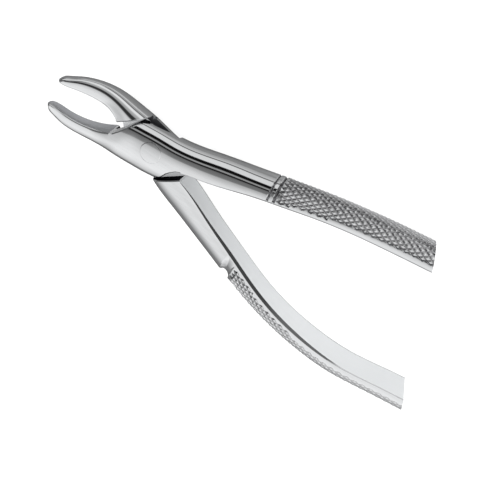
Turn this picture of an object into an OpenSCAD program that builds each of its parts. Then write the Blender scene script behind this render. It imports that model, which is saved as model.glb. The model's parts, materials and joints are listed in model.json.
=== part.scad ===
// Dental extraction forceps: two forged halves crossing at a lap joint on one pivot rivet.
// The pivot axis is parallel to Z, the beaks point to -X and the handles to +X.
// The front half (nearer +Z) carries the -Y beak and the +Y handle.

/* [Pose] */
// Angle from closed to the resting pose, shared equally by the two halves (degrees)
rest_opening = 12; // [0:1:30]

/* [Joint] */
// Thickness of each half at the lap joint
plate_t = 5.2; // [4:0.1:6]
// Clearance between the two lap faces
lap_gap = 0.1; // [0.05:0.01:0.2]
// Radius of the pivot rivet's shank
rivet_r = 3.2; // [2.5:0.1:3.6]
// Radius of the rivet's two countersunk heads
head_r = 4.4; // [3.8:0.1:5]
// Depth of the straight rim of each head, below the top of the plates
head_rim = 0.8; // [0.5:0.1:1.2]
// Radial clearance of the rivet in the back half
running_gap = 0.05; // [0.01:0.01:0.1]

/* [Beaks] */
// Distance from the pivot to the beak tips
beak_len = 45; // [40:1:48]
// Height that the beak tips are bent towards +Z
beak_lift = 6.2; // [0:0.2:8]
// Depth of the spoon hollow in each beak
spoon_depth = 0.7; // [0:0.1:1]

/* [Handles] */
// Half width of the shanks beside the joint
shank_half_w = 5.2; // [4.5:0.1:5.5]
// Half width of the handles at their ends
grip_half_w = 7.5; // [6.5:0.1:8]
// Distance from the pivot to the collar in front of the grips
collar_x = 50; // [46:1:54]
// Depth of the groove behind the collar
groove_depth = 0.5; // [0.3:0.1:1]
// Distance from the pivot to the plane that trims both handle ends
end_dist = 110.3; // [100:0.1:116]
// Turn of that end plane about Z (degrees)
end_turn = 17; // [0:0.5:20]
// Lean of that end plane (degrees)
end_lean = 18; // [0:0.5:20]

/* [Hidden] */
$fn = 96;
half_turn = rest_opening / 2;
far = 200;
groove_w = 2;
// Middle of the resting tool in X and Y, and its lowest point, seen from the pivot
centre_x = 44;
centre_y = -3.4;
lowest_z = -7.35;

// Outlines of one half, closed, with its beak below the X axis and its handle above:
// [x, y] points along the bar, joined by a smooth curve.
front_beak_inside = [
    [-beak_len, -0.5], [-42, -0.9], [-38, -2.1], [-32, -3.2],
    [-26, -3], [-22, -2.2], [-18, -0.9], [-15, 4], [-12, 9], [-6, 9.8],
];
front_beak_back = [
    [-beak_len, -1.6], [-44, -3.5], [-42, -5.1], [-39, -6.9], [-33, -8.7],
    [-26, -9.2], [-20, -9.6], [-14, -10.5], [-6, -11.1], [0, -11.2], [4, -11],
];
back_beak_inside = [
    [-beak_len, -0.4], [-42, -0.6], [-38, -1.6], [-32, -3],
    [-26, -3.8], [-22, -3.5], [-18, -1.9], [-15, 4], [-12, 9], [-6, 9.8],
];
back_beak_back = [
    [-beak_len, -1.3], [-44, -2.9], [-42, -4.4], [-39, -6.5], [-33, -9.5],
    [-26, -11.2], [-20, -11.3], [-14, -11], [-6, -10.6], [0, -9.9], [4, -9.4],
];
// Back and inner face of the straight handle, on the front half
straight_back = [
    [0, 9.4], [7, 9.2], [16, 9.9], [28, 12], [40, 13.8],
    [60, 17], [80, 19.4], [100, 20.9], [125, 21.9],
];
straight_inside = [
    [8, -9], [12, -4], [16, -1.1], [20, -0.7], [30, 0.9], [42, 3.7], [55, 6.2],
    [70, 9.1], [85, 11.1], [100, 12.2], [125, 13.4],
];
// The same for the bowed handle, on the back half
bowed_back = [
    [0, 9.5], [4, 10.2], [7, 12.1], [10, 13.2], [20, 15.9], [28, 18.2], [42, 22.3],
    [58, 26.8], [72, 29.4], [88, 30.5], [104, 29.3], [120, 25.6], [142, 20.2],
];
bowed_inside = [
    [8, -7.6], [12, -2], [14.5, 1.4], [20, 2.8], [34, 8], [48, 12.8], [60, 17],
    [72, 20.2], [84, 21.8], [96, 22.1], [108, 20.9], [124, 16.7], [142, 12.3],
];
// Half thickness of the bar along Z, and the height of its middle
half_depth = [
    [-beak_len, 1], [-44, 1.7], [-41, 2.4], [-34, 2.8], [-26, 3.4], [-20, 4.2],
    [-15, plate_t], [0, plate_t], [15, shank_half_w], [50, 5.6], [80, 6.5],
    [110, 7.1], [142, grip_half_w],
];
// Where the bar is thickest: 0 at its inner face's side of the handle, 1 at the beak's
widest_at = [
    [-beak_len, 0.8], [-30, 0.84], [-18, 0.8], [-10, 0.6], [0, 0.5], [8, 0.35],
    [16, 0.14], [30, 0.1], [142, 0.1],
];
// Squareness of the cross-section on each side: 2 is an ellipse, more is boxier
square_below = [[-beak_len, 2.1], [0, 2.3], [6, 2.5], [14, 6], [142, 8]];
square_above = [[-beak_len, 4], [-38, 7], [-18, 6], [-10, 2.5], [0, 2.3], [142, 2.1]];

// Shoulder lines that bound the lap recess, and the edges that face the other half
beak_shoulder = [[-16.5, -2.1], [-8.5, -9.9]];
handle_shoulder = [[14.7, 2.1], [5.9, 10.9]];
plate_corner_beak = [[-17.2, -0.7], [-14.9, 1.6], [-12.2, 4.7], [-10.1, 7.3], [-7.8, 9.5]];
plate_corner_handle = [
    [4.3, -11.2], [6.5, -8.9], [7.3, -7.6], [8.7, -5.2], [10.1, -3.7], [12, -2.2], [15.8, -1.1],
];
// Corners that close those cuts, well outside the metal
outside_beak = [[-6.5, 14], [-34, 14], [-34, -0.3], [-18, -0.3]];
outside_handle = [[15.8, -20], [4.3, -20]];
outside_below = [[-6, -16], [30, -16]];
outside_above = [[4, 16], [-30.5, 14]];
// Where the spoon hollow of each beak begins and ends
hollow_from = -44;
hollow_to = -18;

// Smooth curve through [x, value] points: cubic pieces that share their slopes
function piece(p, x, i = 0) = i >= len(p) - 2 || x < p[i + 1][0] ? i : piece(p, x, i + 1);
function rise(p, i) =
    let (a = max(i - 1, 0), b = min(i + 1, len(p) - 1))
    (p[b][1] - p[a][1]) / (p[b][0] - p[a][0]);
function along(p, x) =
    let (i = piece(p, x), w = p[i + 1][0] - p[i][0], t = (x - p[i][0]) / w)
    p[i][1] * (1 - t) * (1 - t) * (1 + 2 * t) + p[i + 1][1] * t * t * (3 - 2 * t)
    + w * t * (1 - t) * (rise(p, i) * (1 - t) - rise(p, i + 1) * t);

// One closed ring of the bar at x: a superellipse with its own squareness on each side
ring_points = 28;
function hollow(x) =
    x < hollow_to && x > hollow_from
    ? spoon_depth * sin((x - hollow_from) / (hollow_to - hollow_from) * 180) : 0;
function groove(x) = abs(x - collar_x) < groove_w / 2 ? groove_depth : 0;
function ring(lower, upper, x) =
    let (
        yb = along(lower, x), yt = along(upper, x) - groove(x),
        h = along(half_depth, x) - groove(x),
        y0 = yb + (yt - yb) * along(widest_at, x), lift = beak_lift * pow(max(-x - 5, 0) / 40, 2)
    )
    [for (k = [0:ring_points - 1])
        let (
            a = k * 360 / ring_points, c = cos(a), s = sin(a),
            n = s >= 0 ? along(square_above, x) : along(square_below, x),
            r = 1 / pow(pow(abs(c), n) + pow(abs(s), n), 1 / n),
            dish = s > 0 ? hollow(x) * max(0, 1 - pow(r * c / 0.8, 2)) : 0
        )
        [x, y0 + r * s * (s >= 0 ? yt - y0 : y0 - yb) - dish, lift + r * c * h]];

// Rings closer together where the outline turns quickly
stations = concat(
    [for (x = [-beak_len:1:-42.5]) x], [for (x = [-42:2:-20]) x], [for (x = [-18:1.5:15]) x],
    [for (x = [18:4:collar_x - 2]) x],
    [for (w = [-0.6, -0.4, 0.4, 0.6]) collar_x + w * groove_w],
    [for (x = [collar_x + 3:4.5:142]) x]
);
function joined(first, second) =
    concat([for (p = first) if (p[0] < second[0][0]) p], second);
front_lower = joined(front_beak_back, straight_inside);
front_upper = joined(front_beak_inside, straight_back);
back_lower = joined(back_beak_back, bowed_inside);
back_upper = joined(back_beak_inside, bowed_back);

module bar(lower, upper) {
    rings = [for (x = stations) ring(lower, upper, x)];
    m = ring_points;
    last = len(stations) - 1;
    polyhedron(
        points = [for (r = rings) each r],
        faces = concat(
            [[for (k = [m - 1:-1:0]) k]],
            [for (i = [0:last - 1], k = [0:m - 1])
                [i * m + k, i * m + (k + 1) % m, (i + 1) * m + (k + 1) % m]],
            [for (i = [0:last - 1], k = [0:m - 1])
                [i * m + k, (i + 1) * m + (k + 1) % m, (i + 1) * m + k]],
            [[for (k = [0:m - 1]) last * m + k]]
        )
    );
}

// Everything beyond the two walls of the plate that face the other half's shoulders
module beside_plate() {
    translate([0, 0, -far / 2]) linear_extrude(far) {
        polygon(concat(plate_corner_beak, outside_beak));
        polygon(concat(plate_corner_handle, outside_handle));
    }
}

// The room that the other half's plate turns in, below a plate that is on the +Z side
module lap_recess() {
    translate([0, 0, -far]) linear_extrude(far + lap_gap / 2)
        polygon(concat(beak_shoulder, outside_below, handle_shoulder, outside_above));
}

// One half, closed: its beak is below the X axis. Its plate is on the +Z side, or on the
// -Z side if plate_up is false.
module half(lower, upper, plate_up) {
    difference() {
        bar(lower, upper);
        beside_plate();
        mirror([0, 0, plate_up ? 0 : 1]) lap_recess();
    }
}

module past_handle_ends() {
    rotate([0, 0, end_turn]) rotate([0, end_lean, 0])
        translate([end_dist, -far / 2, -far / 2]) cube(far);
}

// The rivet before its ends are ground flush: a shank and two countersunk heads
module rivet_blank(gap) {
    head_start = plate_t - head_rim;
    cylinder(h = far, r = rivet_r + gap, center = true);
    for (side = [0, 1]) mirror([0, 0, side]) {
        translate([0, 0, head_start]) cylinder(h = far, r = head_r + gap);
        translate([0, 0, head_start - (head_r - rivet_r)])
            cylinder(h = head_r - rivet_r, r1 = rivet_r + gap, r2 = head_r + gap);
    }
}

module front_half() {
    color("gainsboro") from_pivot() difference() {
        rotate([0, 0, half_turn]) half(front_lower, front_upper, true);
        past_handle_ends();
        rivet_blank(0);
    }
}

module back_half() {
    color("silver") from_pivot() difference() {
        mirror([0, 1, 0]) rotate([0, 0, half_turn]) half(back_lower, back_upper, false);
        past_handle_ends();
        rivet_blank(running_gap);
    }
}

module pivot_rivet() {
    color("lightgray") from_pivot() intersection() {
        rivet_blank(0);
        rotate([0, 0, half_turn]) bar(front_lower, front_upper);
    }
}

// Everything is drawn about the pivot, then stands over the middle of its bounding box
module from_pivot() {
    translate([-centre_x, -centre_y, -lowest_z]) children();
}

front_half();
back_half();
pivot_rivet();
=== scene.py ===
"""Dental extraction forceps: the looks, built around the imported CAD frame.

Each half is one smooth loft in millimetres, drawn closed about the pivot with its beak below
the X axis and its handle above. It is cut to its joint, turned to the resting pose and moved
to the frame.
"""
import json
import math

import bmesh
import bpy
import numpy as np
from mathutils import Matrix


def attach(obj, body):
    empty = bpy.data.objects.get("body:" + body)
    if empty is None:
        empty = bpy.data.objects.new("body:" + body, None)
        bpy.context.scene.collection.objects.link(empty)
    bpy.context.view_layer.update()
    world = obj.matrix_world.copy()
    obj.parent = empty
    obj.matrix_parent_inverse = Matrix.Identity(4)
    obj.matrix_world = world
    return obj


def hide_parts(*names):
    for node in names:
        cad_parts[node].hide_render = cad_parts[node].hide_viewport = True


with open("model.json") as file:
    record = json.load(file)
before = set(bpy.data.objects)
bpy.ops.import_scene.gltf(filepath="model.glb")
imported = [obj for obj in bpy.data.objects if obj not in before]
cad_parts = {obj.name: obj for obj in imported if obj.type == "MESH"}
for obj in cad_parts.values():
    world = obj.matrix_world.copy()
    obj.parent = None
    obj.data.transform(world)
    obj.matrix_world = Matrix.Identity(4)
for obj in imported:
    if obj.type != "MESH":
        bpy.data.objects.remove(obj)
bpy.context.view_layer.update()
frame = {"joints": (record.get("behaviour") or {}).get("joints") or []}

MM = 0.001
hinge = frame["joints"][0]
pivot = np.array(hinge["pos_m"])
half_turn = math.radians(-hinge["range_deg"][0] / 2)    # of each half, from closed to rest

# ---------------------------------------------------------------- driving dimensions, mm
plate_t = 5.2          # thickness of each half at the joint
lap_gap = 0.1          # clearance between the lap faces
beak_start = -18.25    # where the beak begins, from the pivot
shank_start = 16.0     # where the handle begins
grip_start = 52.2      # where the knurl begins
fine_start = 47.0      # where the rings of the loft get closer, ahead of the knurl
handle_span = 105.0    # rough length of the handle
beak_len = 45.0
beak_lift = 5.93       # rise of the beak tips
tip_round = 1.3        # length of the rounding at the very tip
rivet_r = 3.2
head_r = 4.4
head_rim = 0.8         # straight part of the head, over its countersink
head_flare = head_r - rivet_r
head_start = plate_t - head_rim
diamond_len = 3.4      # knurl diamonds, along the handle and across it
diamond_wide = 1.9
bore_gap = 0.012       # clearance around the rivet
crevice_depth = 0.02   # of the lap's edge cut, whose near-black walls and floor are painted shade
end_dist = 110.2       # from the pivot to the slanted plane that trims the handles
end_lean = 18.0        # its slants, in degrees
end_turn = 17.0
far = 20.0             # beyond every piece, for cutters
round_steps = 96       # around the rivet and its bore


def spline(points):
    """Smooth curve through [x, value] points, with continuous curvature."""
    p = np.array(points, float)
    x, y, n, h = p[:, 0], p[:, 1], len(p), np.diff(p[:, 0])
    a, b = np.eye(n), np.zeros(n)
    for i in range(1, n - 1):
        a[i, i - 1:i + 2] = h[i - 1], 2 * (h[i - 1] + h[i]), h[i]
        b[i] = 6 * ((y[i + 1] - y[i]) / h[i] - (y[i] - y[i - 1]) / h[i - 1])
    m = np.linalg.solve(a, b)

    def value(t):
        t = np.clip(np.asarray(t, float), x[0], x[-1])
        i = np.clip(np.searchsorted(x, t) - 1, 0, n - 2)
        u, v, w = x[i + 1] - t, t - x[i], h[i]
        bend = m[i] * u ** 3 / (6 * w) + m[i + 1] * v ** 3 / (6 * w)
        return bend + (y[i] / w - m[i] * w / 6) * u + (y[i + 1] / w - m[i + 1] * w / 6) * v

    return value


def line(points):
    """Straight stretches through [x, value] points."""
    p = np.array(points, float)
    return lambda t: np.interp(t, p[:, 0], p[:, 1])


# ---------------------------------------------------------------- outlines, mm
# Outlines and edges run along X. A groove is [x, depth, half width] and a scoop is [depth, x, length].
class Front:
    """The half with the straight handle. Its plate is on the +Z side."""
    name, body, node, slot = "front", "front", "front_half", "front_steel"
    side, mirror = 1, 1
    inside = spline([
        [-45, -0.5], [-42, -0.9], [-38, -2.1], [-32, -3.2], [-26, -3], [-22, -2.2], [-18, -0.9]])
    back = spline([
        [-45, -1.9], [-44, -3.6], [-42, -5.2], [-39, -6.9], [-33, -8.7], [-26, -9.3], [-20, -9.7],
        [-14, -10.5], [-6, -11.1], [0, -11.2], [4, -11], [16, -10.6]])
    ridge = spline([
        [-45, -1], [-42, -1.9], [-38, -3.3], [-32, -4.4], [-26, -4.3], [-20, -3.4], [-14, -2.2],
        [-6, -1.1], [0, -0.9], [8, -0.4], [16, 0.4], [24, 1.2], [42, 5], [55, 7.5], [70, 10.4],
        [85, 12.4], [100, 13.5], [125, 14.7]])
    handle_back = spline([
        [beak_start, 9.2], [-10, 9.5], [0, 9.4], [7, 9.2], [16, 9.9], [28, 12], [40, 13.8], [60, 17],
        [80, 19.4], [100, 20.85], [125, 21.8]])
    handle_inside = spline([
        [16, -1.1], [20, -0.7], [30, 0.9], [42, 3.7], [55, 6.2], [70, 9.1], [85, 11.1],
        [100, 12.2], [125, 13.4]])
    arc = [[2.5, -13], [4.3, -11.2], [6.5, -8.9], [7.3, -7.6], [8.7, -5.2], [10.1, -3.7],
           [12, -2.2], [14, -1.5], [16.03, -1.1]]
    wedge = [[-18.27, -0.98], [-17.2, -0.7], [-14.9, 1.6], [-12.2, 4.7], [-10.1, 7.3], [-6, 11.6]]
    smooth_band = line([[52, 0.7], [70, 1.5], [100, 2.2], [142, 2.4]])
    # Strength of the painted shade in the grooves along the handle.
    groove_shade_strength = line([[60, 0.9], [100, 0.85]])
    knurl_depth = line([[52, 0.5], [142, 0.5]])
    bevel = line([[16, 0.12], [28, 0.55], [48, 0.95], [142, 0.95]])
    grooves = [[49.3, 0.4, 0.45], [51.8, 0.5, 0.6]]
    scoop = [0, 50, 1]


class Back:
    """The half with the bowed handle. Its plate is on the -Z side."""
    name, body, node, slot = "back", "back", "back_half", "back_steel"
    side, mirror = -1, -1
    inside = spline([
        [-45, -0.4], [-42, -0.6], [-38, -1.6], [-32, -3], [-26, -3.8], [-22, -3.5], [-18, -1.9]])
    back = spline([
        [-45, -2], [-44, -3.2], [-42, -4.6], [-39, -6.6], [-33, -9.5], [-26, -11.2], [-20, -11.4],
        [-14, -11], [-6, -10.6], [0, -9.9], [4, -9.5], [16, -9.2]])
    ridge = spline([
        [-45, -0.9], [-42, -1.6], [-38, -3], [-32, -4.6], [-26, -5.4], [-20, -4.6], [-14, -2.6],
        [-6, -0.9], [0, -0.4], [8, 1], [16, 3.1], [20, 4.2], [34, 9.3], [48, 14.1], [60, 18.3],
        [72, 21.5], [84, 23.1], [96, 23.4], [108, 22.2], [124, 18], [142, 13.6]])
    handle_back = spline([
        [beak_start, 9.2], [-10, 9.5], [-4, 9.4], [0, 9.6], [4, 10.4], [8, 12.1], [14, 14.2],
        [20, 15.9], [28, 18.2], [42, 22.3], [58, 26.8], [72, 29.4], [88, 30.4], [104, 29.3],
        [120, 25.6], [142, 20.2]])
    handle_inside = spline([
        [16, 1.9], [20, 2.9], [34, 8], [48, 12.8], [60, 17], [72, 20.2], [84, 21.8], [96, 22.1],
        [108, 20.9], [124, 16.7], [142, 12.3]])
    arc = [[2.5, -13], [4.3, -11.2], [6.5, -8.9], [7.3, -7.6], [8.7, -5.2], [10.4, -3.2],
           [12.3, -1], [14, 0.7], [16.03, 1.9]]
    wedge = [[-18.27, -1.98], [-17.2, -0.9], [-14.9, 1.6], [-12.2, 4.7], [-10.1, 7.3], [-6, 11.6]]
    smooth_band = line([[52, 1.1], [70, 1.5], [100, 1.6], [142, 1.6]])
    # Strength of the painted shade in the grooves, lighter towards the handle's end.
    groove_shade_strength = line([[52, 0.6], [75, 0.5], [95, 0.45], [130, 0.45]])
    knurl_depth = line([[52, 0.5], [75, 0.35], [100, 0.24], [142, 0.22]])
    bevel = line([[16, 0.12], [28, 0.55], [48, 1], [80, 1], [95, 0.75], [112, 0.3], [142, 0.25]])
    grooves = []
    scoop = [1.6, 49.9, 4.4]


beak_shoulder = [[-16.5, -2.1], [-8.5, -9.9]]
handle_shoulder = [[5.9, 10.9], [14.7, 2.1]]
half_depth = spline([
    [-45, 1.5], [-44, 1.95], [-41, 2.4], [-34, 2.8], [-26, 3.5], [-20, 4.3], [-14, 5], [-8, plate_t],
    [0, plate_t], [15, plate_t], [50, 5.6], [80, 6.5], [110, 7.05], [142, 7.4]])
inner_flat = line([[-45, 0.55], [-40, 0.8], [-24, 0.86], [-18, 0.95]])
crown_low = line([[-45, 2.1], [0, 2.25], [16, 2.3]])    # 2 is a round crown, more is squarer
crown_high = line([[beak_start, 2.25], [0, 2.25], [20, 2.1], [142, 2.1]])
handle_crown_low = 2.6
beak_crown_high = 2.1
dish_depth = 0.75      # of the spoons inside the beaks

# ---------------------------------------------------------------- the ring of a loft
FLAT_LOW, BEVEL, ARC_LOW, ARC_HIGH, FLAT_HIGH = range(5)
COUNTS = {FLAT_LOW: 14, BEVEL: 3, ARC_LOW: 26, ARC_HIGH: 58, FLAT_HIGH: 18}


def ring_layout():
    """Which stretch of the section each ring point is on, how far along, and on which side."""
    kinds, ts, signs = [], [], []

    def add(kind, t, sign):
        kinds.extend([kind] * len(t))
        ts.extend(t)
        signs.extend([sign] * len(t))

    def steps(kind):
        return (np.arange(COUNTS[kind]) + 0.5) / COUNTS[kind]

    add(FLAT_LOW, steps(FLAT_LOW) * 2 - 1, 1)
    for kind in (BEVEL, ARC_LOW, ARC_HIGH):
        add(kind, np.arange(COUNTS[kind]) / COUNTS[kind], 1)
    add(FLAT_HIGH, 1 - 2 * np.arange(COUNTS[FLAT_HIGH]) / COUNTS[FLAT_HIGH], 1)
    for kind in (ARC_HIGH, ARC_LOW, BEVEL):
        add(kind, 1 - np.arange(COUNTS[kind]) / COUNTS[kind], -1)
    return np.array(kinds), np.array(ts), np.array(signs)


KIND, T, SIGN = ring_layout()
BEAK, PLATE, HANDLE = range(3)


def lift(x):
    """Rise of the middle plane, which grows along the beaks."""
    return beak_lift * (np.maximum(-x - 5, 0) / 40) ** 2


def quarter(t, crown):
    """(sine, cosine) of a superellipse's quarter, t from 0 to 1."""
    a = t * math.pi / 2
    return np.sin(a) ** (2 / crown), np.cos(a) ** (2 / crown)


def section(half, region, x):
    """(y, z) of the ring points, each at its own x, before knurl and grooves."""
    h = half_depth(x)
    ridge = half.ridge(x)
    low = half.handle_inside(x) if region == HANDLE else half.back(x)
    high = half.inside(x) if region == BEAK else half.handle_back(x)
    if region == HANDLE:
        bevel = half.bevel(x)
        flat_z, arc_z, arc_y = h - bevel, h * 0.995, low + bevel
    else:
        flat_z, arc_z, arc_y = h * 0.05, h * 0.08, low + 0.0005
    top_z = h * inner_flat(x) if region == BEAK else h * 0.04
    t = np.clip(T, 0, 1)
    up_sin, up_cos = quarter(t, beak_crown_high if region == BEAK else crown_high(x))
    low_sin, low_cos = quarter(1 - t, handle_crown_low if region == HANDLE else crown_low(x))
    dish = 0
    if region == BEAK:
        depth = dish_depth * np.sin(np.clip((x + 44.2) / 26, 0, 1) * math.pi) ** 0.6
        dish = depth * np.clip(1 - (T / 0.84) ** 2, 0, 1)
    stretches = [KIND == FLAT_LOW, KIND == BEVEL, KIND == ARC_LOW, KIND == ARC_HIGH]
    y = np.select(
        stretches,
        [low, low + (arc_y - low) * T, ridge - (ridge - arc_y) * low_sin,
         ridge + (high - ridge) * up_sin],
        high - dish)
    z = np.select(
        stretches,
        [flat_z * T, SIGN * (flat_z + (arc_z - flat_z) * T), SIGN * (arc_z + (h - arc_z) * low_cos),
         SIGN * (top_z + (h - top_z) * up_cos)],
        top_z * T)
    tip = np.clip((x + beak_len) / tip_round, 0, 1)
    shrink = np.sqrt(np.clip(1 - (1 - tip) ** 2, 0.0004, 1)) if region == BEAK else 1
    middle = (low + high) / 2
    return middle + (y - middle) * shrink, z * shrink


def knurl(x, s, edge):
    """Height of the knurl, 1 on top and 0 in a groove, at arc length s from the crown."""
    u = x / diamond_len + s / diamond_wide
    v = x / diamond_len - s / diamond_wide

    def kept(i, j):
        mid_x = diamond_len * (i + j + 1) / 2
        mid_s = diamond_wide * (i - j) / 2
        return (np.abs(mid_s) < edge) & (mid_x > grip_start + 0.6 * diamond_len)

    i = np.floor(u)
    j = np.floor(v)
    du = u - i - 0.5
    dv = v - j - 0.5
    to_line = 1 - 2 * np.maximum(np.abs(du), np.abs(dv))
    beside = np.where(np.abs(du) > np.abs(dv), kept(i + np.sign(du), j), kept(i, j + np.sign(dv)))
    outside = np.where(beside, np.clip(to_line * 5, 0, 1), 1)
    return np.where(kept(i, j), np.clip(to_line * 1.1, 0, 1), outside)


def inward(y, z):
    """Unit vectors into the section at each ring point."""
    dy = np.roll(y, -1, 1) - np.roll(y, 1, 1)
    dz = np.roll(z, -1, 1) - np.roll(z, 1, 1)
    size = np.hypot(dy, dz) + 1e-9
    in_y = dz / size
    in_z = -dy / size
    centre = y.mean(1, keepdims=True)
    flip = np.where(in_y * (centre - y) - in_z * z < 0, -1, 1)
    return flip * in_y, flip * in_z


def from_crown(y, z):
    """Arc length around the section, 0 on the crown of the handle's back."""
    step = np.hypot(np.diff(y, axis=1), np.diff(z, axis=1))
    s = np.concatenate([np.zeros((len(y), 1)), np.cumsum(step, 1)], 1)
    crown = np.argmax(KIND == FLAT_HIGH) + COUNTS[FLAT_HIGH] // 2
    return s - s[:, crown:crown + 1]


def carve(half, x, y, z):
    """Moves the handle's ring points inwards for the knurl, the grooves and the scoop, and gives the
    painted shade of the grooves.
    """
    in_y, in_z = inward(y, z)
    s = from_crown(y, z)
    first = np.argmax(KIND == ARC_HIGH)
    widest = np.abs(s[:, first:first + 1])
    edge = widest - half.smooth_band(x)
    domed = (KIND == ARC_HIGH) | (KIND == FLAT_HIGH)
    gripped = domed & (x > grip_start)
    depth = np.where(gripped, half.knurl_depth(x) * (1 - knurl(x, s, edge)), 0)
    around = np.where(domed | (KIND == ARC_LOW), 1, 0)
    for at, deep, wide in half.grooves:
        depth = np.maximum(depth, around * deep * np.clip(1.3 - np.abs(x - at) / wide * 1.3, 0, 1))
    deep, at, length = half.scoop
    bowl = np.clip(1 - ((x - at) / (length / 2)) ** 2, 0, 1) ** 0.5
    scooped = around * deep * bowl * np.clip(1 - (s / widest) ** 2, 0, 1)
    depth = np.maximum(depth, scooped)
    knurled = gripped & (np.abs(s) < edge + 0.3)
    # Painted shade: how much the groove color darkens each point, by the groove's depth and a strength
    # along the handle; none in the scoop.
    shade = half.groove_shade_strength(x) * np.clip(depth / half.knurl_depth(x), 0, 1) * (scooped < 0.01)
    return y + in_y * depth, z + in_z * depth, knurled, shade


def end_normal(half):
    """Normal of the plane that trims the handles, in the half's own closed frame."""
    lean = math.radians(end_lean)
    turn = math.radians(end_turn)
    n = np.array([math.cos(lean) * math.cos(turn), math.cos(lean) * math.sin(turn), -math.sin(lean)])
    n = n * [1, half.mirror, 1]
    c = math.cos(half_turn)
    s = math.sin(half_turn)
    return np.array([c * n[0] + s * n[1], -s * n[0] + c * n[1], n[2]])


def handle_ends(half):
    """Where each ring point meets the end plane along X, found by repeated steps."""
    normal = end_normal(half)
    end_x = np.full(len(KIND), end_dist)
    for _ in range(20):
        y, z = section(half, HANDLE, end_x[None])
        end_x = (end_dist - normal[1] * y[0] - normal[2] * z[0]) / normal[0]
    return end_x


# The last, near-black, is painted shade for the lap's walls and crevice.
POLISHED, SATIN, KNURLED, SPOON, GROUND, PAINTED_SHADE = range(6)


def mesh_object(name, verts, faces, index, materials):
    """A linked object with a material index for each face."""
    mesh = bpy.data.meshes.new(name)
    mesh.from_pydata([tuple(v) for v in verts], [], [tuple(f) for f in faces])
    for m in materials:
        mesh.materials.append(m)
    mesh.polygons.foreach_set("material_index", np.asarray(index, np.int32))
    mesh.update()
    obj = bpy.data.objects.new(name, mesh)
    bpy.context.scene.collection.objects.link(obj)
    return obj


def clean(obj):
    """Merges coincident points and makes the faces point outwards."""
    bm = bmesh.new()
    bm.from_mesh(obj.data)
    bmesh.ops.remove_doubles(bm, verts=bm.verts, dist=1e-5)
    bmesh.ops.dissolve_degenerate(bm, edges=bm.edges, dist=1e-6)
    bmesh.ops.recalc_face_normals(bm, faces=bm.faces)
    if bm.calc_volume(signed=True) < 0:
        bmesh.ops.reverse_faces(bm, faces=bm.faces)
    bm.to_mesh(obj.data)
    bm.free()


def beak_and_plate_rows(half):
    """Points and materials of the rings from the beak tip to the shank."""
    round_x = -beak_len + tip_round * (1 - np.cos(np.linspace(0, math.pi / 2, 9)))
    beak_x = np.concatenate([round_x[:-1], np.linspace(-beak_len + tip_round, beak_start, 60)])
    plate_x = np.linspace(beak_start, shank_start, 70)
    rows, marks = [], []
    for region, line_x in ((BEAK, beak_x), (PLATE, plate_x)):
        x = line_x[:, None] * np.ones(len(KIND))
        y, z = section(half, region, x)
        rows.append(np.stack([x, y, z + lift(x)], 2))
        spooned = (KIND == FLAT_HIGH) & (region == BEAK)
        marks.append(np.where(spooned, SPOON, POLISHED) * np.ones(x.shape, int))
    return rows, marks


def handle_rows(half):
    """Points, materials and painted groove shade of the handle's rings, which lean towards the end plane.
    """
    plain_share = (fine_start - shank_start) / handle_span
    cuts = np.unique(np.concatenate([
        np.linspace(0, plain_share, 60), np.linspace(plain_share, 1, 380)]))
    x = shank_start + (handle_ends(half) - shank_start)[None] * cuts[:, None]
    y, z, knurled, shade = carve(half, x, *section(half, HANDLE, x))
    plain = np.where(KIND == FLAT_LOW, SATIN, POLISHED) * np.ones(x.shape, int)
    return np.stack([x, y, z], 2), np.where(knurled, KNURLED, plain), shade


def loft(half, materials):
    """One closed skin from the beak tip to the handle end, with the painted shade of its grooves as an
    attribute.
    """
    rows, marks = beak_and_plate_rows(half)
    handle, handle_mark, shade = handle_rows(half)
    points = np.concatenate(rows + [handle])
    mark = np.concatenate(marks + [handle_mark])
    n, m = points.shape[:2]
    grid = np.arange(n * m).reshape(n, m)
    right = np.roll(grid, -1, 1)
    quads = np.stack([grid[:-1], right[:-1], right[1:], grid[1:]], 2).reshape(-1, 4)
    faces = [list(q) for q in quads] + [list(grid[0][::-1]), list(grid[-1])]
    index = np.concatenate([mark[:-1].reshape(-1), [POLISHED, GROUND]])
    obj = mesh_object(half.name + "_loft", points.reshape(-1, 3), faces, index, materials)
    # The grooves' painted shade, zero on the beak and plate.
    groove = np.zeros((n, m), np.float32)
    groove[-len(shade):] = shade
    obj.data.attributes.new("groove", "FLOAT", "POINT").data.foreach_set("value", groove.ravel())
    clean(obj)
    return obj


def prism(name, outline, z0, z1, materials, side_mark=GROUND, cap_mark=GROUND):
    """A closed block over an outline, a cutter that leaves its own materials on the walls."""
    n = len(outline)
    verts = [(x, y, z) for z in (z0, z1) for x, y in outline]
    faces = [list(range(n))[::-1], list(range(n, 2 * n))]
    faces += [[i, (i + 1) % n, n + (i + 1) % n, n + i] for i in range(n)]
    obj = mesh_object(name, verts, faces, [cap_mark] * 2 + [side_mark] * n, materials)
    clean(obj)
    return obj


def top_height(half, x, y):
    """Height of the plate's domed surface over its middle plane."""
    h, ridge = float(half_depth(x)), float(half.ridge(x))
    up = y > ridge
    reach = float(half.handle_back(x)) - ridge if up else ridge - float(half.back(x))
    n = float(crown_high(x) if up else crown_low(x))
    out = min(abs(y - ridge) / reach, 0.999)
    return h * (1 - out ** n) ** (1 / n)


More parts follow.
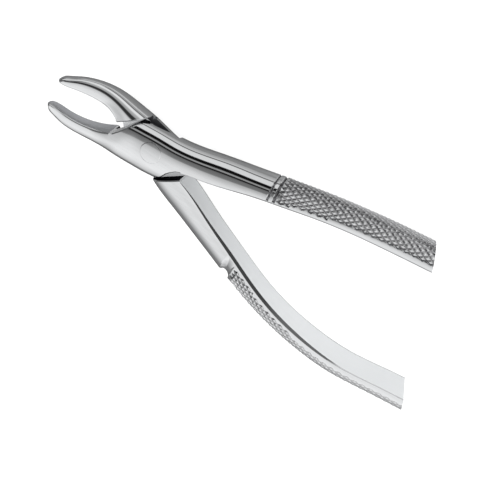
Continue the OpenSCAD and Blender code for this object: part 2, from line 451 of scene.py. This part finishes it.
def edge_cutter(half, name, points, toward, size, side, materials):
    """A 45 degree chamfer where the domed surface meets a wall that follows the points."""
    clear = 1.2
    fine = []
    for (x0, y0), (x1, y1) in zip(points[:-1], points[1:]):
        count = max(2, int(math.hypot(x1 - x0, y1 - y0) / 0.4))
        fine += [(x0 + (x1 - x0) * k / count, y0 + (y1 - y0) * k / count) for k in range(count)]
    fine.append(tuple(points[-1]))
    fine = np.array(fine)
    along = np.gradient(fine, axis=0)
    across = np.stack([along[:, 1], -along[:, 0]], 1)
    across /= np.linalg.norm(across, axis=1)[:, None]
    if (across[len(fine) // 2] @ np.array(toward)) < 0:
        across = -across
    verts = []
    for (x, y), (ax, ay) in zip(fine, across):
        z = top_height(half, x, y)
        for out, up in ((clear, -size - clear), (-size - clear, clear), (clear, clear)):
            verts.append((x + ax * out, y + ay * out, side * (z + up) + float(lift(x))))
    n = len(fine)
    faces = [[0, 1, 2], [3 * n - 1, 3 * n - 2, 3 * n - 3]]
    for i in range(n - 1):
        for k in range(3):
            a, b = 3 * i + k, 3 * i + (k + 1) % 3
            faces.append([a, b, b + 3])
            faces.append([a, b + 3, a + 3])
    obj = mesh_object(name, verts, faces, [POLISHED] * len(faces), materials)
    clean(obj)
    return obj


def bore_cutter(materials):
    """The bore for the rivet, with room for a head at each end."""
    reach = 9
    wide = head_r + bore_gap
    narrow = rivet_r + bore_gap
    rise = head_start - head_flare
    profile = [(0, -reach), (wide, -reach), (wide, -head_start), (narrow, -rise),
               (narrow, rise), (wide, head_start), (wide, reach), (0, reach)]
    n = len(profile)
    verts, faces = [], []
    for k in range(round_steps):
        a = 2 * math.pi * k / round_steps
        verts += [(r * math.cos(a), r * math.sin(a), z) for r, z in profile]
    for k in range(round_steps):
        for i in range(n - 1):
            a, b = k * n + i, (k + 1) % round_steps * n + i
            faces.append([a, b, b + 1, a + 1])
    obj = mesh_object("bore_cut", verts, faces, [GROUND] * len(faces), materials)
    clean(obj)
    return obj


def cut(obj, cutters):
    """Takes the cutters away from the object, then removes them."""
    for c in cutters:
        mod = obj.modifiers.new(c.name, "BOOLEAN")
        mod.operation, mod.solver, mod.object = "DIFFERENCE", "MANIFOLD", c
    depsgraph = bpy.context.evaluated_depsgraph_get()
    done = bpy.data.meshes.new_from_object(obj.evaluated_get(depsgraph))
    obj.modifiers.clear()
    obj.data = done
    for c in cutters:
        bpy.data.objects.remove(c)


def place(obj, half):
    """From the half's closed frame in millimetres to the frame at rest in metres."""
    turn = Matrix.Rotation(half_turn, 4, "Z")
    flip = Matrix.Diagonal((1, half.mirror, 1, 1))
    obj.data.transform(Matrix.Translation(pivot) @ Matrix.Diagonal((MM, MM, MM, 1)) @ flip @ turn)
    if half.mirror < 0:
        obj.data.flip_normals()
    for p in obj.data.polygons:
        p.use_smooth = True
    obj.data.set_sharp_from_angle(angle=math.radians(32))


def longer(p, q, by):
    """The ends of a line, each moved outwards."""
    d = np.array(q, float) - p
    d *= by / np.linalg.norm(d)
    return [list(np.array(p) - d), list(np.array(q) + d)]


def half_cutters(half, materials):
    """What is taken from a loft: the jaw wedge, the arc, the lap, the bore and four edges."""
    s = half.side
    wedge = half.wedge + [[-6, 20], [-18.27, 20]]
    arc = half.arc + [[16.03, -25], [2.5, -25]]
    recess = [[-30.5, 14], *beak_shoulder, [-6, -16], [30, -16], *handle_shoulder[::-1], [4, 18]]
    crevice = [[-10.5, -8.1], [6, -8.1], [9, -16], [-6, -16], beak_shoulder[1]]
    lap = sorted([s * lap_gap / 2, -s * far])
    deeper = sorted([s * (lap_gap / 2 + crevice_depth), -s * far])
    return [
        prism("wedge_cut", wedge, -far, far, materials),
        prism("arc_cut", arc, -far, far, materials),
        # The walls of the lap's recess and the whole crevice at its edge take the near-black steel:
        # painted shade.
        prism("lap_cut", recess, *lap, materials, PAINTED_SHADE),
        prism("lap_edge_cut", crevice, *deeper, materials, PAINTED_SHADE, PAINTED_SHADE),
        bore_cutter(materials),
        edge_cutter(half, "wedge_edge", half.wedge[1:], (-1, 1), 0.35, s, materials),
        edge_cutter(half, "arc_edge", half.arc[1:-1], (1, -1), 0.3, s, materials),
        edge_cutter(half, "beak_edge", longer(*beak_shoulder, 2.5), (1, 1), 0.6, -s, materials),
        edge_cutter(half, "handle_edge", longer(*handle_shoulder, 2.5), (-1, -1), 0.4, -s, materials),
    ]


def make_half(half, materials):
    """One forging: beak, joint plate, shank and grip."""
    body = loft(half, materials)
    cut(body, half_cutters(half, materials))
    body.name = half.name + "_forging"
    place(body, half)
    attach(body, half.body)
    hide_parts(half.node)


def rivet_column(a):
    """Points down the rivet's side at one angle, its heads ground to the domed plate."""
    rim = 0.035
    radii = [0.02, *np.linspace(0.4, head_r - rim, 14), head_r - rim * 0.45, head_r]
    drops = [0] * 15 + [rim * 0.3, rim]
    cos_a = math.cos(a)
    sin_a = math.sin(a)
    face = [(r * cos_a, r * sin_a, top_height(Front, r * cos_a, r * sin_a) - drop)
            for r, drop in zip(radii, drops)]
    rise = head_start - head_flare
    shaft = [(r * cos_a, r * sin_a, z)
             for r, z in ((head_r, head_start), (rivet_r, rise), (rivet_r, -rise), (head_r, -head_start))]
    return face + shaft + [(x, y, -z) for x, y, z in face[::-1]]


def make_rivet(material):
    """The rivet, its two heads flush with the plates."""
    verts, faces = [], []
    for k in range(round_steps):
        verts += rivet_column(2 * math.pi * k / round_steps)
    n = len(verts) // round_steps
    for k in range(round_steps):
        a, b = k * n, (k + 1) % round_steps * n
        faces += [[a + i, b + i, b + i + 1, a + i + 1] for i in range(n - 1)]
    top = [k * n for k in range(round_steps)]
    bottom = [k * n + n - 1 for k in range(round_steps)]
    faces += [top, bottom[::-1]]
    obj = mesh_object("rivet", verts, faces, [0] * len(faces), [material])
    clean(obj)
    place(obj, Front)
    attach(obj, "front")
    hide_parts("pivot_rivet")


# ---------------------------------------------------------------- materials
def map_range(nodes, links, value, start, end, low, high):
    """A smooth step from low to high as the value goes from start to end."""
    span = nodes.new("ShaderNodeMapRange")
    span.interpolation_type = "SMOOTHSTEP"
    span.inputs["From Min"].default_value = start
    span.inputs["From Max"].default_value = end
    span.inputs["To Min"].default_value = low
    span.inputs["To Max"].default_value = high
    links.new(value, span.inputs["Value"])
    return span.outputs["Result"]


def mixed(nodes, links, factor, a, b):
    """A blend of two colors, each a socket or three numbers."""
    mix = nodes.new("ShaderNodeMix")
    mix.data_type = "RGBA"
    links.new(factor, mix.inputs["Factor"])
    for name, color in (("A", a), ("B", b)):
        if isinstance(color, tuple):
            mix.inputs[name].default_value = (*color, 1)
        else:
            links.new(color, mix.inputs[name])
    return mix.outputs["Result"]


def noise(nodes, links, vector, scale, detail):
    texture = nodes.new("ShaderNodeTexNoise")
    texture.inputs["Scale"].default_value = scale
    texture.inputs["Detail"].default_value = detail
    links.new(vector, texture.inputs["Vector"])
    return texture.outputs["Fac"]


def steel(name, color, rough, metallic, scale, stretch, bump, edge=0.25, contrast=0.88, groove=None):
    """Stainless steel with fine directional marks and faint smudges; grooves take another color, a
    painted shade.
    """
    mat = bpy.data.materials.new(name)
    mat.use_nodes = True
    nodes, links = mat.node_tree.nodes, mat.node_tree.links
    shader = nodes["Principled BSDF"]
    shader.inputs["Metallic"].default_value = metallic
    shader.inputs["Specular Tint"].default_value = (edge, edge, edge, 1)
    coord = nodes.new("ShaderNodeTexCoord")
    stretched = nodes.new("ShaderNodeMapping")
    stretched.inputs["Scale"].default_value = stretch
    links.new(coord.outputs["Object"], stretched.inputs["Vector"])
    marks = noise(nodes, links, stretched.outputs["Vector"], scale, 5)
    both = nodes.new("ShaderNodeMath")
    both.operation = "MULTIPLY"
    links.new(marks, both.inputs[0])
    links.new(noise(nodes, links, coord.outputs["Object"], 180, 3), both.inputs[1])
    links.new(map_range(nodes, links, both.outputs[0], 0.1, 0.45, rough * 0.85, rough * 1.15),
              shader.inputs["Roughness"])
    base = mixed(nodes, links, marks, color, tuple(c * contrast for c in color))
    # The attribute darkens the base color in the grooves: painted shade.
    if groove:
        depth = nodes.new("ShaderNodeAttribute")
        depth.attribute_name = "groove"
        share = map_range(nodes, links, depth.outputs["Fac"], 0.05, 0.8, 0, 1)
        base = mixed(nodes, links, share, base, groove)
    links.new(base, shader.inputs["Base Color"])
    relief = nodes.new("ShaderNodeBump")
    relief.inputs["Strength"].default_value = bump
    relief.inputs["Distance"].default_value = 0.00004
    links.new(marks, relief.inputs["Height"])
    links.new(relief.outputs["Normal"], shader.inputs["Normal"])
    return mat


grey = (0.80, 0.81, 0.82)
# In the order of POLISHED, SATIN, KNURLED, SPOON, GROUND and the last, near-black steel, which is painted
# shade on the lap walls and crevice.
steels = [
    # The groove colors of the polished and knurled steels are painted shade in the grooves.
    steel("polished_steel", grey, 0.06, 1.0, 900, (0.12, 1, 1), 0.01, groove=(0.25, 0.25, 0.26)),
    steel("satin_steel", (0.72, 0.735, 0.745), 0.4, 0.45, 300, (0.06, 1, 1), 0.004,
          edge=0.8, contrast=0.98),
    steel("knurled_steel", grey, 0.1, 1.0, 1500, (1, 1, 1), 0.05, groove=(0.42, 0.42, 0.43)),
    steel("spoon_steel", (0.52, 0.53, 0.55), 0.33, 0.7, 1400, (1, 1, 1), 0.6, edge=0.6),
    steel("ground_steel", (0.68, 0.69, 0.7), 0.3, 0.45, 1800, (1, 0.3, 1), 0.15, edge=0.6),
    steel("shadowed_steel", (0.05, 0.05, 0.055), 0.35, 1.0, 1200, (1, 1, 1), 0.3),
]

for which in (Front, Back):
    make_half(which, steels)
make_rivet(steels[POLISHED])


# ---------------------------------------------------------------- floor, light and camera
def make_floor():
    """A pale floor; in reflections it is darker, most of all on the beaks' side, a painted shade that the
    steel mirrors.
    """
    mat = bpy.data.materials.new("pale_floor")
    mat.use_nodes = True
    nodes, links = mat.node_tree.nodes, mat.node_tree.links
    shader = nodes["Principled BSDF"]
    shader.inputs["Roughness"].default_value = 0.9
    coord = nodes.new("ShaderNodeTexCoord")
    grain = noise(nodes, links, coord.outputs["Generated"], 40, 2)
    seen = mixed(nodes, links, grain, (0.9, 0.9, 0.9), (0.92, 0.92, 0.92))
    split = nodes.new("ShaderNodeSeparateXYZ")
    links.new(coord.outputs["Object"], split.inputs["Vector"])
    # Painted shade for glossy rays only: darker towards -X, which the steel shows as dark edges.
    mirrored = map_range(nodes, links, split.outputs["X"], -0.02, 0.04, 0.22, 0.6)
    path = nodes.new("ShaderNodeLightPath")
    base = mixed(nodes, links, path.outputs["Is Glossy Ray"], seen, mirrored)
    links.new(base, shader.inputs["Base Color"])
    reach = 3.0
    height = -0.0003
    corners = [(-reach, -reach, height), (reach, -reach, height), (reach, reach, height),
               (-reach, reach, height)]
    obj = mesh_object("floor", corners, [[0, 1, 2, 3]], [0], [mat])


def brightness_ramp(nodes, links, angle, stops):
    """Grey levels against an angle; the stops are [degrees, level]."""
    ramp = nodes.new("ShaderNodeValToRGB")
    links.new(angle, ramp.inputs["Fac"])
    elements = ramp.color_ramp.elements
    while len(elements) < len(stops):
        elements.new(0.5)
    for element, (degrees, level) in zip(elements, stops):
        element.position = (degrees + 180) / 360
        element.color = (level, level, level, 1)
    return ramp.outputs["Color"]


def make_world():
    """A light tent with dark strips: grey levels by the angle from +Z towards +Y.

    The strips differ between the -X side, the middle and the +X side; both ends are dark.
    """
    west = [(-90, 0.2), (-76, 0.27), (-63, 0.5), (-50, 0.8), (-40, 0.82), (-26, 0.62), (-14, 0.48),
            (-11, 0.19), (1, 0.15), (2, 0.01), (7, 0.01), (8, 0.32), (13, 0.32), (15, 0.004), (28, 0.004),
            (30, 0.74), (59, 0.74), (62, 0.14), (69, 0.14), (72, 0.62), (84, 0.5), (90, 0.45)]
    middle = [(-90, 0.5), (-75, 0.72), (-55, 0.93), (-25, 0.84), (-9, 0.64), (-4, 0.04), (8, 0.03),
              (12, 0.35), (24, 0.5), (30, 0.85), (44, 0.85), (47, 0.15), (55, 0.15), (59, 0.5), (63, 0.3),
              (70, 0.42), (76, 0.7), (84, 0.5), (90, 0.4)]
    east = [(-90, 0.6), (-60, 0.95), (0, 0.9), (20, 0.7), (32, 0.2), (45, 0.05), (90, 0.1)]
    world = bpy.data.worlds.new("studio")
    bpy.context.scene.world = world
    world.use_nodes = True
    nodes, links = world.node_tree.nodes, world.node_tree.links
    backdrop = nodes["Background"]
    coord = nodes.new("ShaderNodeTexCoord")
    split = nodes.new("ShaderNodeSeparateXYZ")
    links.new(coord.outputs["Generated"], split.inputs["Vector"])
    angle = nodes.new("ShaderNodeMath")
    angle.operation = "ARCTAN2"
    links.new(split.outputs["Y"], angle.inputs[0])
    links.new(split.outputs["Z"], angle.inputs[1])
    unit = nodes.new("ShaderNodeMapRange")
    unit.inputs["From Min"].default_value = -math.pi
    unit.inputs["From Max"].default_value = math.pi
    links.new(angle.outputs[0], unit.inputs["Value"])

    full_turn = 360
    slant = nodes.new("ShaderNodeMath")
    slant.operation = "MULTIPLY_ADD"
    links.new(split.outputs["X"], slant.inputs[0])
    slant.inputs[1].default_value = -40 / full_turn
    slant.inputs[2].default_value = -4 / full_turn
    slanted = nodes.new("ShaderNodeMath")
    links.new(unit.outputs["Result"], slanted.inputs[0])
    links.new(slant.outputs[0], slanted.inputs[1])
    tent = brightness_ramp(nodes, links, slanted.outputs[0], west)
    for stops, start, end in ((middle, -0.22, -0.12), (east, 0.14, 0.36)):
        share = map_range(nodes, links, split.outputs["X"], start, end, 0, 1)
        side = brightness_ramp(nodes, links, unit.outputs["Result"], stops)
        tent = mixed(nodes, links, share, tent, side)

    reach = nodes.new("ShaderNodeMath")
    reach.operation = "ABSOLUTE"
    links.new(split.outputs["X"], reach.inputs[0])
    share = map_range(nodes, links, reach.outputs[0], 0.5, 0.7, 0, 1)
    mirrored = mixed(nodes, links, share, tent, (0.12, 0.12, 0.12))
    path = nodes.new("ShaderNodeLightPath")
    behind = mixed(nodes, links, path.outputs["Is Camera Ray"], mirrored, (0.9, 0.9, 0.9))
    links.new(behind, backdrop.inputs["Color"])
    backdrop.inputs["Strength"].default_value = 1.15


def make_light():
    """A soft light from behind the camera for the floor; polished steel does not mirror it."""
    light = bpy.data.lights.new("soft_light", "SUN")
    light.energy = 3.4
    light.angle = math.radians(60)
    light.use_shadow = False
    obj = bpy.data.objects.new("soft_light", light)
    obj.rotation_euler = view_matrix().to_euler()
    obj.visible_glossy = False
    bpy.context.scene.collection.objects.link(obj)


def view_matrix():
    """Axes of the camera, squared up: +X right, +Y up and +Z towards the viewer."""
    right = [0.826, 0.413, -0.3835]
    up = [-0.551, 0.734, -0.397]
    back = [0.1176, 0.539, 0.834]
    u, _, v = np.linalg.svd(np.array([right, up, back]))
    return Matrix((u @ v).T.tolist())


def make_camera():
    """The photograph's viewing angle; the place is in mm from the pivot."""
    place_mm = np.array([153.1, 472.4, 752.1])
    cam = bpy.data.cameras.new("camera")
    cam.sensor_width = 36
    cam.lens = 174.05
    cam.clip_start, cam.clip_end = 0.01, 20
    obj = bpy.data.objects.new("camera", cam)
    bpy.context.scene.collection.objects.link(obj)
    obj.matrix_world = Matrix.Translation(pivot + place_mm * MM) @ view_matrix().to_4x4()
    bpy.context.scene.camera = obj


make_floor()
make_world()
make_light()
make_camera()
bpy.context.scene.view_settings.view_transform = "Standard"
